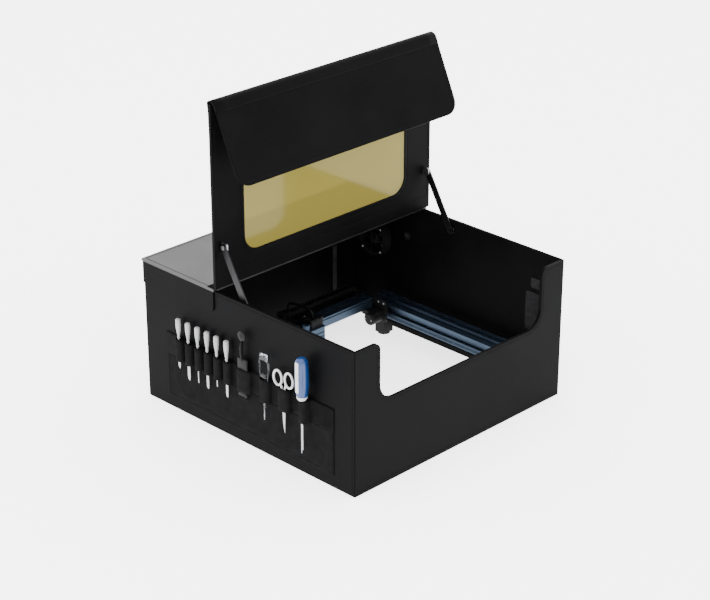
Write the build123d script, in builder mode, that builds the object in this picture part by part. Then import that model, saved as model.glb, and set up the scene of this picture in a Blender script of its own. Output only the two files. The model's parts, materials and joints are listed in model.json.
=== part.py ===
"""Fold-up laser enclosure with a gantry laser engraver inside it. Millimetres, +Z up.

The design frame has its zero on the floor at the middle of the enclosure's footprint,
X to the right as seen from the front, and Y towards the rear. Pieces are written out
moved by `shift`, which puts the origin at the bottom centre of the whole object's box.
"""
from build123d import *
from math import cos, radians, sin
import os

os.makedirs("parts", exist_ok=True)

# Enclosure walls
width = 700.0
depth = 700.0
height = 355.0
wall = 8.0
edge_r = 3.0
notch_side = 79.0
notch_deep = 146.0
notch_low_r = 44.0
notch_rim_r = 18.0
skin = 3.0
skin_gap = 0.4
cover_drop = 54.0
cover_corner = 15.0

# Lid, its window and its front flap
cover_front = 98.5
cover_t = 7.0
lid_t = 7.0
lid_over = 4.0
lid_lift = 1.0
roll_r = 8.0
roll_flat = 3.0
flap_inner_r = 12.0
flap_t = 3.0
flap_reach = 186.0
flap_lean = 24.5
flap_corner = 34.0
flap_front_gap = 1.5
window_side = 92.0
window_sill = 66.5
window_head = 66.0
window_r = 40.0
rebate = 8.0
pane_t = 2.0
pane_gap = 0.3

# Lid stays
stay_side = 7.5
stay_t = 3.0
stay_w = 18.0
stay_off = 10.0
stay_height = 110.0
stay_foot_back = 96.0
stay_foot_drop = 26.0
stay_pin_r = 3.0
stay_hole_r = 2.5
pin_gap = 0.05
catch_r = 8.0
catch_t = 3.6

# Cable flap, strap and pads
cable_side = 22.0
cable_top = 93.0
cable_gap = 1.0
cable_t = 6.0
cable_clear = 2.0
strap_side = 70.0
strap_w = 14.0
strap_t = 1.5
strap_low = 42.0
strap_high = 206.0
pad_t = 4.0
pad_front = 56.0
pad_w = 42.5
pad_low = 210.0
pad_h = 101.5
tab_w = 28.0
tab_low = 97.0
tab_h = 26.0

# Exhaust fan and duct
fan_back = 96.0
fan_drop = 116.0
duct_bore_r = 37.0
duct_t = 2.5
duct_rib = 3.0
duct_len = 150.0
duct_pitch = 10.0
duct_flange_r = 50.0
duct_flange_t = 3.0
duct_gap = 0.5
fan_r = 48.0
fan_in_r = 40.0
fan_deep = 22.0
fan_hub_r = 16.0
fan_shaft_r = 2.0
blade_r = 38.0
guard_t = 2.5
grommet_front = 104.0
grommet_up = 30.0
grommet_r = 10.0
grommet_hole_r = 5.0

# Tool holder on the left wall
tool_x = 11.0
holder_t = 1.5
holder_front = -286.0
holder_rear = 275.0
holder_low = 30.0
band_low = 141.0
band_high = 197.0
loop_slope = 4.0
handle_gap = 2.0
driver_gap = 4.6
driver_r = 16.0
driver_top = 302.0

# Engraver frame
rail_side = 22.0
rail_w = 40.0
rail_low = 57.0
rail_high = 108.0
rail_front = -279.0
rail_rear = 207.0
slot_mid = 80.0
slot_half = 8.0
slot_deep = 8.0
beam_w = 30.0
beam_low = 60.0
beam_high = 90.0
rear_beam_gap = 5.0
rear_beam_w = 24.0
rear_arm_w = 26.0
rear_beam_low = 54.0
rear_beam_high = 68.0
foot_w = 34.0
belt_w = 7.0
belt_t = 1.5
box_in = 18.0
box_w = 142.0
box_deep = 37.0
box_high = 100.0
button_r = 8.0
button_gap = 0.4
button_travel = 3.0

# Gantry
gantry_front = 195.0
gantry_deep = 40.0
gantry_low = 83.0
gantry_high = 108.0
plate_t = 4.0
plate_gap = 14.0
plate_front = 146.0
plate_low = 52.0
plate_high = 112.0
wheel_r = 7.6
wheel_w = 6.0
wheel_in = 1.0
axle_r = 3.0
shaft_back = 13.0
shaft_z = 68.0
shaft_r = 4.0
pulley_r = 9.0
motor_r = 17.0
motor_y = 170.0
motor_len = 40.0
tray_w = 30.0
tray_low = 72.0
tray_high = 101.0
tray_t = 2.0
chain_w = 22.0
chain_r = 27.0
chain_t = 13.0
chain_end = 3.0
chain_low = 75.0

# Carriage and laser head
head_x = 8.0
head_w = 64.0
head_front = 137.0
head_low = 62.0
head_high = 124.0
carriage_t = 5.0
carriage_gap = 0.5
lift_gap = 0.4
cap_high = 148.0
cap_x0 = -4.0
nozzle_r = 11.0
nozzle_low = 46.0
knob_r = 9.0
knob_gap = 0.3
cable_r = 3.5
cable_y = 160.0
cable_peak = 166.0
cable_end_off = 8.0

# Places worked out from the sizes above
wall_out = width / 2
wall_in = wall_out - wall
front = -depth / 2
front_in = front + wall
rear = depth / 2
rear_in = rear - wall
skin_in = wall_out + skin_gap
notch_half = wall_out - notch_side
notch_floor = height - notch_deep
lid_half = wall_out + lid_over
hinge_y = cover_front - 1.5
hinge_z = height + lid_t + 0.5
lid_front = hinge_y - lid_t
roll_y = lid_front - 1.0
roll_z = hinge_z + hinge_y - front + flap_front_gap - flap_inner_r
lid_top = roll_z - roll_flat
lid_low = hinge_z + lid_lift
window_half = lid_half - window_side
window_low = hinge_z + window_sill
window_high = lid_top - window_head
stay_plane = wall_in - stay_side
stay_foot_y = hinge_y - stay_foot_back
stay_foot_z = height - stay_foot_drop
stay_y = lid_front - stay_off
stay_z = hinge_z + stay_height - 7.5
cable_half = wall_out - cable_side
cable_hinge_z = cable_top
strap_x = wall_in - strap_side
fan_y = rear - fan_back
fan_z = height - fan_drop
grommet_y = fan_y - grommet_front
grommet_z = fan_z + grommet_up
duct_out_r = duct_bore_r + duct_t
duct_end = wall_out + duct_len
fan_front = wall_in - fan_deep
rail_out = wall_in - rail_side
rail_in = rail_out - rail_w
box_x0 = box_in - rail_in
box_x1 = box_x0 + box_w
plate_out = rail_in - plate_gap
gantry_rear = gantry_front + gantry_deep
shaft_y = gantry_rear - shaft_back
rear_beam_y = gantry_rear + rear_beam_gap
tray_front = gantry_rear + 4.0
tray_rear = tray_front + tray_w
chain_x = plate_out - chain_end
chain_y = tray_front + tray_w / 2
chain_mid = chain_low + chain_r
cable_end_y = chain_y - cable_end_off
plate_rear = gantry_rear
carriage_rear = gantry_front - carriage_gap
carriage_front = carriage_rear - carriage_t
head_rear = carriage_front - lift_gap
driver_x = driver_r + driver_gap
reach_left = wall_out + driver_x + driver_r
reach_rear = rear + skin_gap + skin
shift = Location((-(duct_end - reach_left) / 2, -(reach_rear + front) / 2, 0))


def keep(piece, label):
    """Name a finished piece, move it into the object's frame and write it."""
    moved = piece.moved(shift)
    moved.label = label
    export_step(moved, f"parts/{label}.step")


def at_x(x):
    """Sketch plane across X: sketch x is Y, sketch y is Z; extrudes towards +X."""
    return Plane.YZ.offset(x)


def at_y(y):
    """Sketch plane across Y: sketch x is X, sketch y is Z; extrudes towards -Y."""
    return Plane.XZ.offset(-y)


def block(x0, x1, y0, y1, z0, z1, mode=Mode.ADD):
    """Box between two corners, in the part being built."""
    with Locations(((x0 + x1) / 2, (y0 + y1) / 2, (z0 + z1) / 2)):
        Box(abs(x1 - x0), abs(y1 - y0), abs(z1 - z0), mode=mode)


def bar_x(x0, x1, y, z, radius, mode=Mode.ADD):
    """Round bar along X, in the part being built."""
    with Locations(((x0 + x1) / 2, y, z)):
        Cylinder(radius, abs(x1 - x0), rotation=(0, 90, 0), mode=mode)


def bar_z(x, y, z0, z1, radius, mode=Mode.ADD):
    """Round bar along Z, in the part being built."""
    with Locations((x, y, (z0 + z1) / 2)):
        Cylinder(radius, abs(z1 - z0), mode=mode)


# ---- Enclosure walls ----
with BuildPart() as left_wall:
    block(-wall_out, -wall_in, front_in, rear_in, 0, height)
keep(left_wall.part, "left_wall")

with BuildPart() as right_wall:
    block(wall_in, wall_out, front_in, rear_in, 0, height)
    bar_x(wall_in, wall_out, fan_y, fan_z, duct_out_r + duct_gap, Mode.SUBTRACT)
    bar_x(wall_in, wall_out, grommet_y, grommet_z, grommet_r - 2.0, Mode.SUBTRACT)
keep(right_wall.part, "right_wall")

with BuildPart() as front_wall:
    with BuildSketch(at_y(front_in)) as front_outline:
        with Locations((0, height / 2)):
            Rectangle(width, height)
        with Locations((0, notch_floor + height / 2)):
            Rectangle(2 * notch_half, height, mode=Mode.SUBTRACT)
        corners = front_outline.vertices()
        fillet(corners.filter_by_position(Axis.Y, notch_floor - 1, notch_floor + 1), notch_low_r)
        rim = front_outline.vertices().filter_by_position(Axis.Y, height - 1, height + 1)
        fillet(rim.filter_by_position(Axis.X, -notch_half - 1, notch_half + 1), notch_rim_r)
    extrude(amount=wall)
    upright = front_wall.edges().filter_by(Axis.Z).group_by(Axis.Y)[0]
    fillet(upright.filter_by_position(Axis.X, -wall_out - 1, -wall_out + 1), edge_r)
    upright = front_wall.edges().filter_by(Axis.Z).group_by(Axis.Y)[0]
    fillet(upright.filter_by_position(Axis.X, wall_out - 1, wall_out + 1), edge_r)
keep(front_wall.part, "front_wall")

with BuildPart() as rear_wall:
    block(-wall_out, wall_out, rear_in, rear, 0, height)
    cut_half = cable_half + cable_gap
    block(-cut_half, cut_half, rear_in, rear, 0, cable_top, Mode.SUBTRACT)
keep(rear_wall.part, "rear_wall")

with BuildPart() as cover_panel:
    block(-lid_half, lid_half, cover_front, reach_rear, height, height + cover_t)
    rim_edges = cover_panel.edges().filter_by(Axis.X).group_by(Axis.Z)[-1].group_by(Axis.Y)[-1]
    fillet(rim_edges, edge_r)
keep(cover_panel.part, "cover_panel")

with BuildPart() as cover_flaps:
    with BuildSketch(at_x(skin_in)) as side_flap:
        with Locations(((cover_front + 3 + rear) / 2, height - cover_drop / 2)):
            Rectangle(rear - cover_front - 3, cover_drop)
        fillet(side_flap.vertices().group_by(Axis.Y)[0].sort_by(Axis.X)[0], cover_corner)
    extrude(amount=skin)
    mirror(about=Plane.YZ)
    block(-wall_out, wall_out, rear + skin_gap, reach_rear, height - cover_drop, height)
keep(cover_flaps.part, "cover_flaps")

with BuildPart() as cable_flap:
    block(-cable_half, cable_half, rear - cable_t, rear, cable_clear, cable_top - cable_gap)
keep(cable_flap.part, "cable_flap")

with BuildPart() as wall_strap:
    block(strap_x - strap_w / 2, strap_x + strap_w / 2, rear_in - strap_t, rear_in, strap_low, strap_high)
keep(wall_strap.part, "wall_strap")

with BuildPart() as wall_pads:
    pad_y = front_in + pad_front
    tab_z = height - tab_low
    pad_z = height - pad_low
    block(wall_in - pad_t, wall_in, pad_y, pad_y + tab_w, tab_z, tab_z + tab_h)
    block(wall_in - pad_t, wall_in, pad_y, pad_y + pad_w, pad_z, pad_z + pad_h)
    fillet(wall_pads.edges().filter_by(Axis.X), 4)
keep(wall_pads.part, "wall_pads")

# ---- Exhaust: fan, guard, duct and cable grommet on the right wall ----
with BuildPart() as fan_housing:
    bar_x(fan_front, wall_in, fan_y, fan_z, fan_r)
    bar_x(fan_front, wall_in, fan_y, fan_z, fan_in_r, Mode.SUBTRACT)
    bar_x(wall_in - 4, wall_in, fan_y, fan_z, fan_hub_r)
    for turn in range(3):
        with Locations(Location((wall_in - 2, fan_y, fan_z), (turn * 120, 0, 0))):
            with Locations((0, 0, (fan_hub_r + fan_in_r) / 2)):
                Box(4, 6, fan_in_r - fan_hub_r + 4)
    bar_x(fan_front, wall_in, fan_y, fan_z, fan_shaft_r + pin_gap, Mode.SUBTRACT)
keep(fan_housing.part, "fan_housing")

with BuildPart() as fan_rotor:
    bar_x(fan_front + 3, wall_in - 5, fan_y, fan_z, fan_hub_r)
    bar_x(wall_in - 5, wall_in - 0.5, fan_y, fan_z, fan_shaft_r)
    for turn in range(7):
        with Locations(Location((wall_in - 13, fan_y, fan_z), (turn * 360 / 7, 0, 0))):
            with Locations(Location((0, 0, (fan_hub_r + blade_r) / 2), (0, 0, 38))):
                Box(1.6, 16, blade_r - fan_hub_r + 1.5)
keep(fan_rotor.part, "fan_rotor")

with BuildPart() as fan_guard:
    for ring_r in (14.0, 27.0, fan_in_r + 2):
        bar_x(fan_front - guard_t, fan_front, fan_y, fan_z, ring_r)
        bar_x(fan_front - guard_t, fan_front, fan_y, fan_z, ring_r - 2.5, Mode.SUBTRACT)
        with Locations((fan_front - guard_t / 2, fan_y, fan_z)):
            Box(guard_t, 2 * ring_r - 1, 2.5)
            Box(guard_t, 2.5, 2 * ring_r - 1)
    for turn in range(4):
        angle = radians(45 + 90 * turn)
        screw_y = fan_y + (fan_in_r + 4) * cos(angle)
        screw_z = fan_z + (fan_in_r + 4) * sin(angle)
        bar_x(fan_front - guard_t, fan_front, screw_y, screw_z, 3.5)
keep(fan_guard.part, "fan_guard")

with BuildPart() as exhaust_duct:
    bar_x(wall_in, duct_end, fan_y, fan_z, duct_out_r)
    bar_x(wall_out, wall_out + duct_flange_t, fan_y, fan_z, duct_flange_r)
    rib_count = int((duct_len - 2 * duct_pitch) / duct_pitch)
    for index in range(rib_count):
        rib_x = wall_out + 1.5 * duct_pitch + index * duct_pitch
        bar_x(rib_x - 2, rib_x + 2, fan_y, fan_z, duct_out_r + duct_rib)
    bar_x(wall_in, duct_end, fan_y, fan_z, duct_bore_r, Mode.SUBTRACT)
keep(exhaust_duct.part, "exhaust_duct")

with BuildPart() as cable_grommet:
    bar_x(wall_in - 3, wall_in, grommet_y, grommet_z, grommet_r)
    bar_x(wall_in, wall_out, grommet_y, grommet_z, grommet_r - 2.2)
    bar_x(wall_in - 3, wall_out, grommet_y, grommet_z, grommet_hole_r, Mode.SUBTRACT)
keep(cable_grommet.part, "cable_grommet")

# ---- Lid: panel, pane, end roll, stay brackets; flap; stays ----
with BuildPart() as lid_panel:
    block(-lid_half, lid_half, lid_front, hinge_y, lid_low, lid_top)
    with BuildSketch(at_y(hinge_y)) as window:
        with Locations((0, (window_low + window_high) / 2)):
            RectangleRounded(2 * window_half, window_high - window_low, window_r)
    extrude(amount=lid_t, mode=Mode.SUBTRACT)
    with BuildSketch(at_y(lid_front + pane_t)) as window_rebate:
        with Locations((0, (window_low + window_high) / 2)):
            RectangleRounded(
                2 * (window_half + rebate),
                window_high - window_low + 2 * rebate,
                window_r + rebate,
            )
    extrude(amount=pane_t, mode=Mode.SUBTRACT)
keep(lid_panel.part, "lid_panel")

pane_edge = rebate - pane_gap
with BuildPart() as window_pane:
    with BuildSketch(at_y(lid_front + pane_t)) as pane_outline:
        with Locations((0, (window_low + window_high) / 2)):
            RectangleRounded(
                2 * (window_half + pane_edge),
                window_high - window_low + 2 * pane_edge,
                window_r + pane_edge,
            )
    extrude(amount=pane_t)
keep(window_pane.part, "window_pane")

with BuildPart() as lid_roll:
    bar_x(-lid_half, lid_half, roll_y, roll_z, roll_r)
    block(-lid_half, lid_half, roll_y - roll_r, roll_y + roll_r, roll_z - roll_r, lid_top, Mode.SUBTRACT)
    block(-lid_half, lid_half, roll_y - roll_r, lid_front, lid_top, roll_z + roll_r, Mode.SUBTRACT)
keep(lid_roll.part, "lid_roll")

with BuildPart() as stay_brackets:
    block(stay_plane - 4.5, stay_plane - 0.4, stay_y - 9, lid_front, stay_z - 10, stay_z + 10)
    fillet(stay_brackets.edges().filter_by(Axis.X).group_by(Axis.Y)[0], 6)
    bar_x(stay_plane - 4.5, stay_plane + stay_t + 2.2, stay_y, stay_z, stay_pin_r)
    bar_x(stay_plane + stay_t + 0.5, stay_plane + stay_t + 2.2, stay_y, stay_z, stay_pin_r + 2.5)
    mirror(about=Plane.YZ)
keep(stay_brackets.part, "stay_brackets")

flap_down = (-sin(radians(flap_lean)), -cos(radians(flap_lean)))
flap_out = (-cos(radians(flap_lean)), sin(radians(flap_lean)))
flap_plane = Plane(
    origin=(0, roll_y + flap_out[0] * flap_inner_r, roll_z + flap_out[1] * flap_inner_r),
    x_dir=(1, 0, 0),
    z_dir=(0, flap_out[0], flap_out[1]),
)
with BuildPart() as front_flap:
    with BuildSketch(flap_plane) as flap_outline:
        with Locations((0, -flap_reach / 2)):
            Rectangle(2 * lid_half, flap_reach)
        fillet(flap_outline.vertices().group_by(Axis.Y)[0], flap_corner)
    extrude(amount=flap_t)
    with BuildSketch(at_x(-lid_half)) as flap_curl:
        with BuildLine():
            low_in = (roll_y + flap_out[0] * flap_inner_r, roll_z + flap_out[1] * flap_inner_r)
            outer_r = flap_inner_r + flap_t
            low_out = (roll_y + flap_out[0] * outer_r, roll_z + flap_out[1] * outer_r)
            half_turn = radians((180 - flap_lean + 90) / 2)
            mid = (cos(half_turn), sin(half_turn))
            inner_mid = (roll_y + flap_inner_r * mid[0], roll_z + flap_inner_r * mid[1])
            outer_mid = (roll_y + outer_r * mid[0], roll_z + outer_r * mid[1])
            ThreePointArc(low_in, inner_mid, (roll_y, roll_z + flap_inner_r))
            Line((roll_y, roll_z + flap_inner_r), (roll_y, roll_z + outer_r))
            ThreePointArc((roll_y, roll_z + outer_r), outer_mid, low_out)
            Line(low_out, low_in)
        make_face()
    extrude(amount=2 * lid_half)
keep(front_flap.part, "front_flap")


def stay(side):
    """Flat lid stay: round-ended bar from its lid pivot down to its wall catch."""
    x0 = stay_plane if side > 0 else -stay_plane - stay_t
    run = Vector(0, stay_foot_y - stay_y, stay_foot_z - stay_z)
    with BuildPart() as bar:
        with BuildSketch(at_x(x0)):
            SlotCenterToCenter(run.length, stay_w)
            with Locations((-run.length / 2, 0)):
                Circle(stay_pin_r + pin_gap, mode=Mode.SUBTRACT)
            with Locations((run.length / 2, 0)):
                Circle(stay_hole_r, mode=Mode.SUBTRACT)
        extrude(amount=stay_t)
    turn = Vector(0, 1, 0).get_signed_angle(run, Vector(1, 0, 0))
    middle = ((stay_y + stay_foot_y) / 2, (stay_z + stay_foot_z) / 2)
    return Location((0, middle[0], middle[1])) * Location((0, 0, 0), (turn, 0, 0)) * bar.part


keep(stay(-1), "left_stay")
keep(stay(1), "right_stay")

with BuildPart() as stay_catches:
    bar_x(wall_in - catch_t, wall_in, stay_foot_y, stay_foot_z, catch_r)
    mirror(about=Plane.YZ)
keep(stay_catches.part, "stay_catches")

# ---- Tool holder and tools on the left wall ----
graver_places = (219.0, 185.5, 152.0, 119.0, 86.0, 52.0)
blade_ends = (121.0, 101.0, 106.0, 103.0, 120.0, 105.0)
blade_widths = (7.5, 9.0, 3.0, 8.0, 2.5, 7.0)
brush_y = -3.0
tweezer_y = -74.0
scissors_y = -137.0
driver_y = -207.0
graver_x = -wall_out - tool_x
driver_mid = -wall_out - driver_x
loops = [(place, 7.5, tool_x + 4) for place in graver_places]
loops += [(brush_y, 19.0, tool_x + 4), (tweezer_y, 12.0, tool_x + 4)]
loops += [(scissors_y, 15.0, tool_x + 4), (driver_y, 8.0, driver_x + 4)]

with BuildPart() as tool_panel:
    block(-wall_out - holder_t, -wall_out, holder_front, holder_rear, holder_low, band_low)
keep(tool_panel.part, "tool_panel")

band_path = [(-wall_out, holder_rear)]
for place, half, stand in loops:
    band_path.append((-wall_out, place + half + loop_slope))
    band_path.append((-wall_out - stand, place + half))
    band_path.append((-wall_out - stand, place - half))
    band_path.append((-wall_out, place - half - loop_slope))
band_path.append((-wall_out, holder_front))
band_back = [(x - holder_t, y) for x, y in reversed(band_path)]
with BuildPart() as tool_band:
    with BuildSketch(Plane.XY.offset(band_low)):
        with BuildLine():
            Polyline(*band_path, *band_back, close=True)
        make_face()
    extrude(amount=band_high - band_low)
keep(tool_band.part, "tool_band")


def graver(place, tip_z, blade_w):
    """Graver: teardrop handle above the band, flat blade down through its loop."""
    low = band_high + handle_gap
    with BuildPart() as tool:
        with BuildSketch(Plane.XZ) as half_handle:
            with BuildLine():
                Spline((2.5, low), (4.6, low + 8), (6.6, low + 34), (5.4, low + 46), (0, low + 53))
                Polyline((0, low + 53), (0, low), (2.5, low))
            make_face()
        revolve(axis=Axis.Z)
        bar_z(0, 0, band_low + 12, low, 1.5)
        block(-1, 1, -blade_w / 2, blade_w / 2, tip_z, band_low + 14)
        chamfer(tool.edges().filter_by(Axis.X).group_by(Axis.Z)[0].sort_by(Axis.Y)[0], blade_w * 0.6)
    return Location((graver_x, place, 0)) * tool.part


for number in range(len(graver_places)):
    keep(graver(graver_places[number], blade_ends[number], blade_widths[number]), f"graver_{number + 1}")

brush_low = band_high + handle_gap
with BuildPart() as cleaning_brush:
    with BuildSketch(at_x(graver_x - 3)) as brush_outline:
        with Locations((brush_y, brush_low + 18)):
            RectangleRounded(34, 36, 7)
        with Locations((brush_y + 3, brush_low + 52)):
            RectangleRounded(12, 48, 5)
        with Locations((brush_y + 1, brush_low + 82)):
            Circle(13)
        with Locations((brush_y, (band_low - 4 + brush_low + 6) / 2)):
            Rectangle(22, brush_low + 10 - band_low)
        with Locations((brush_y, band_low - 12)):
            Rectangle(30, 18)
    extrude(amount=6)
keep(cleaning_brush.part, "cleaning_brush")

with BuildPart() as tweezers:
    with BuildSketch(at_x(graver_x - 2.5)) as tweezer_outline:
        with Locations((tweezer_y, brush_low + 32)):
            RectangleRounded(36, 62, 9)
        with Locations((tweezer_y, brush_low + 34)):
            RectangleRounded(20, 40, 6, mode=Mode.SUBTRACT)
        with BuildLine():
            Polyline(
                (tweezer_y - 9, brush_low + 4),
                (tweezer_y + 9, brush_low + 4),
                (tweezer_y + 2, 96),
                (tweezer_y - 2, 96),
                close=True,
            )
        make_face()
    extrude(amount=5)
keep(tweezers.part, "tweezers")

ring_z = brush_low + 20
with BuildPart() as scissors:
    for place, lift in ((scissors_y + 18, 0), (scissors_y - 18, 4)):
        with BuildSketch(at_x(graver_x - 3)):
            with Locations((place, ring_z + lift)):
                Ellipse(16, 21)
                Ellipse(10.5, 15.5, mode=Mode.SUBTRACT)
        extrude(amount=6)
    with BuildSketch(at_x(graver_x - 1.5)):
        with BuildLine():
            Polyline(
                (scissors_y - 7, ring_z - 12),
                (scissors_y + 7, ring_z - 12),
                (scissors_y + 5, 150),
                (scissors_y - 4, 86),
                (scissors_y - 7, 150),
                close=True,
            )
        make_face()
    extrude(amount=3)
keep(scissors.part, "scissors")

driver_low = band_high + handle_gap
with BuildPart() as driver_handle:
    with BuildSketch(Plane.XZ):
        with BuildLine():
            Spline(
                (8, driver_low),
                (13, driver_low + 8),
                (driver_r, driver_low + 30),
                (driver_r - 2, driver_top - 10),
                (9, driver_top),
            )
            Polyline((9, driver_top), (0, driver_top), (0, driver_low), (8, driver_low))
        make_face()
    revolve(axis=Axis.Z)
    with Locations((0, 0, (driver_low + driver_top) / 2 + 8)):
        with PolarLocations(driver_r + 2.6, 6):
            Cylinder(4.0, 110, mode=Mode.SUBTRACT)
    bar_z(0, 0, driver_low - 0.5, driver_low + 25, axle_r, Mode.SUBTRACT)
keep(Location((driver_mid, driver_y, 0)) * driver_handle.part, "driver_handle")

with BuildPart() as driver_shaft:
    bar_z(0, 0, 66, driver_low + 25, axle_r)
    block(-4, 4, -3, -1, 60, 74, Mode.SUBTRACT)
    block(-4, 4, 1, 3, 60, 74, Mode.SUBTRACT)
keep(Location((driver_mid, driver_y, 0)) * driver_shaft.part, "driver_shaft")

# ---- Engraver frame ----
rail_steps = (
    (rail_out, rail_low),
    (rail_out, rail_high),
    (rail_out - 12, rail_high),
    (rail_out - 12, rail_high - 7),
    (rail_out - 18, rail_high - 7),
    (rail_out - 18, rail_high - 3),
    (rail_out - 24, rail_high - 3),
    (rail_out - 24, rail_high - 13),
    (rail_in, rail_high - 13),
    (rail_in, slot_mid + slot_half),
    (rail_in + slot_deep, slot_mid + slot_half),
    (rail_in + slot_deep, slot_mid - slot_half),
    (rail_in, slot_mid - slot_half),
    (rail_in, rail_low),
)


def rail(side):
    """Side rail with a stepped top and a wheel slot along its inner face."""
    with BuildPart() as profile:
        with BuildSketch(at_y(rail_rear)):
            with BuildLine():
                Polyline(*[(side * x, z) for x, z in rail_steps], close=True)
            make_face()
        extrude(amount=rail_rear - rail_front)
    return profile.part


keep(rail(-1), "left_rail")
keep(rail(1), "right_rail")

with BuildPart() as front_beam:
    block(-rail_in, rail_in, rail_front, rail_front + beam_w, beam_low, beam_high)
    block(-rail_in, rail_in, rail_front + 10, rail_front + 20, beam_high - 5, beam_high, Mode.SUBTRACT)
keep(front_beam.part, "front_beam")

with BuildPart() as rear_beam:
    arm_x = rail_out - rear_arm_w
    beam_back = rear_beam_y + rear_beam_w
    block(-rail_out, rail_out, rear_beam_y, beam_back, rear_beam_low, rear_beam_high)
    block(arm_x, rail_out, rail_rear, beam_back, rear_beam_low, rear_beam_high)
    block(-rail_out, -arm_x, rail_rear, beam_back, rear_beam_low, rear_beam_high)
keep(rear_beam.part, "rear_beam")

with BuildPart() as machine_feet:
    for foot_y in (rail_front + foot_w / 2, rail_rear - foot_w / 2):
        block(rail_in + 3, rail_out - 3, foot_y - foot_w / 2 + 2, foot_y + foot_w / 2 - 2, 4, rail_low)
        bar_z((rail_in + rail_out) / 2, foot_y, 0, 4, foot_w / 2 - 1)
    mirror(about=Plane.YZ)
keep(machine_feet.part, "machine_feet")

belt_x = plate_out + 2.0
belt_top = shaft_z - pulley_r - 0.4
with BuildPart() as drive_belts:
    block(belt_x, belt_x + belt_w, rail_front + beam_w, rail_rear, belt_top - belt_t, belt_top)
    block(belt_x, rail_in, rail_front + beam_w, rail_front + beam_w + 8, belt_top, belt_top + 8)
    block(belt_x, rail_in, rail_rear, rail_rear + 3, belt_top - belt_t, belt_top + 8)
    block(rail_in, rail_in + 12, rail_rear, rail_rear + 3, belt_top - 1, belt_top + 8)
    mirror(about=Plane.YZ)
keep(drive_belts.part, "drive_belts")

button_x = box_x1 - 30
button_y = rail_front + beam_w + box_deep / 2
with BuildPart() as control_box:
    block(box_x0, box_x1, rail_front + beam_w, rail_front + beam_w + box_deep, beam_low, box_high)
    fillet(control_box.edges().filter_by(Axis.Z), 5)
    bar_z(button_x, button_y, box_high - 12, box_high, button_r + button_gap, Mode.SUBTRACT)
keep(control_box.part, "control_box")

with BuildPart() as power_button:
    bar_z(button_x, button_y, box_high - 7, box_high + button_travel + 1, button_r)
    fillet(power_button.edges().group_by(Axis.Z)[-1], 1)
keep(power_button.part, "power_button")

# ---- Gantry: beam, end plates, tray, chain, motors, shaft and wheels ----
beam_end = plate_out - plate_t
with BuildPart() as gantry_beam:
    block(-beam_end, beam_end, gantry_front, gantry_rear, gantry_low, gantry_high)
    line_z = gantry_high - 7
    belt_y = gantry_front + 12
    block(-beam_end, beam_end, gantry_front, gantry_front + 3, line_z, line_z + 3, Mode.SUBTRACT)
    block(-beam_end, beam_end, belt_y, belt_y + 8, gantry_high - 5, gantry_high, Mode.SUBTRACT)
keep(gantry_beam.part, "gantry_beam")

wheel_places = (plate_front + 14, gantry_front - 2)
with BuildPart() as gantry_plates:
    block(beam_end, plate_out, plate_front, plate_rear, plate_low, plate_high)
    fillet(gantry_plates.edges().filter_by(Axis.X), 8)
    for wheel_y in wheel_places:
        bar_x(beam_end, plate_out, wheel_y, slot_mid, axle_r + pin_gap, Mode.SUBTRACT)
    bar_x(beam_end, plate_out, shaft_y, shaft_z, shaft_r + pin_gap, Mode.SUBTRACT)
    mirror(about=Plane.YZ)
keep(gantry_plates.part, "gantry_plates")

with BuildPart() as cable_tray:
    block(-beam_end, beam_end, gantry_rear, tray_rear, tray_low, tray_low + tray_t)
    block(-beam_end, beam_end, gantry_rear, gantry_rear + tray_t, tray_low, tray_high)
    block(-beam_end, beam_end, tray_rear - tray_t, tray_rear, tray_low, tray_high)
keep(cable_tray.part, "cable_tray")

chain_top = chain_low + 2 * chain_r
chain_bend_x = chain_x - chain_r
with BuildPart() as drag_chain:
    with BuildSketch(at_y(chain_y + chain_w / 2)):
        with Locations((chain_bend_x, chain_mid)):
            Circle(chain_r)
            Circle(chain_r - chain_t, mode=Mode.SUBTRACT)
        with Locations((chain_bend_x - chain_r, chain_mid)):
            Rectangle(2 * chain_r, 2 * chain_r, mode=Mode.SUBTRACT)
        with Locations(((chain_bend_x + head_x) / 2, chain_top - chain_t / 2)):
            Rectangle(chain_bend_x - head_x, chain_t)
        with Locations(((chain_bend_x + head_x) / 2, chain_low + chain_t / 2)):
            Rectangle(chain_bend_x - head_x, chain_t)
    extrude(amount=chain_w)
keep(drag_chain.part, "drag_chain")

with BuildPart() as y_motor:
    bar_x(beam_end - motor_len, beam_end, motor_y, slot_mid - 12, motor_r)
    fillet(y_motor.edges().group_by(Axis.X)[0], 5)
    block(beam_end - motor_len + 12, beam_end, motor_y - 12, gantry_front, slot_mid - 12, gantry_low)
    block(beam_end - motor_len + 12, beam_end, gantry_front, gantry_front + 12, slot_mid - 4, gantry_low)
keep(y_motor.part, "y_motor")

x_motor_x = -beam_end + 32
with BuildPart() as x_motor:
    with Locations((x_motor_x, gantry_front + 4, gantry_low - 18)):
        Box(42, 36, 36)
    fillet(x_motor.edges().filter_by(Axis.Z), 5)
keep(x_motor.part, "x_motor")

with BuildPart() as drive_shaft:
    bar_x(-plate_out - 9, plate_out + 9, shaft_y, shaft_z, shaft_r)
    bar_x(plate_out + 2, plate_out + 9, shaft_y, shaft_z, pulley_r)
    bar_x(-plate_out - 9, -plate_out - 2, shaft_y, shaft_z, pulley_r)
keep(drive_shaft.part, "drive_shaft")


def gantry_wheel(side, place):
    """Track wheel on its axle, between the end plate and the bottom of the rail's slot."""
    with BuildPart() as wheel:
        inner_face = side * (rail_in + wheel_in)
        bar_x(inner_face, inner_face + side * wheel_w, place, slot_mid, wheel_r)
        bar_x(side * beam_end, inner_face, place, slot_mid, axle_r)
        bar_x(side * (plate_out + 0.5), inner_face, place, slot_mid, axle_r + 2)
    return wheel.part


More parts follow.
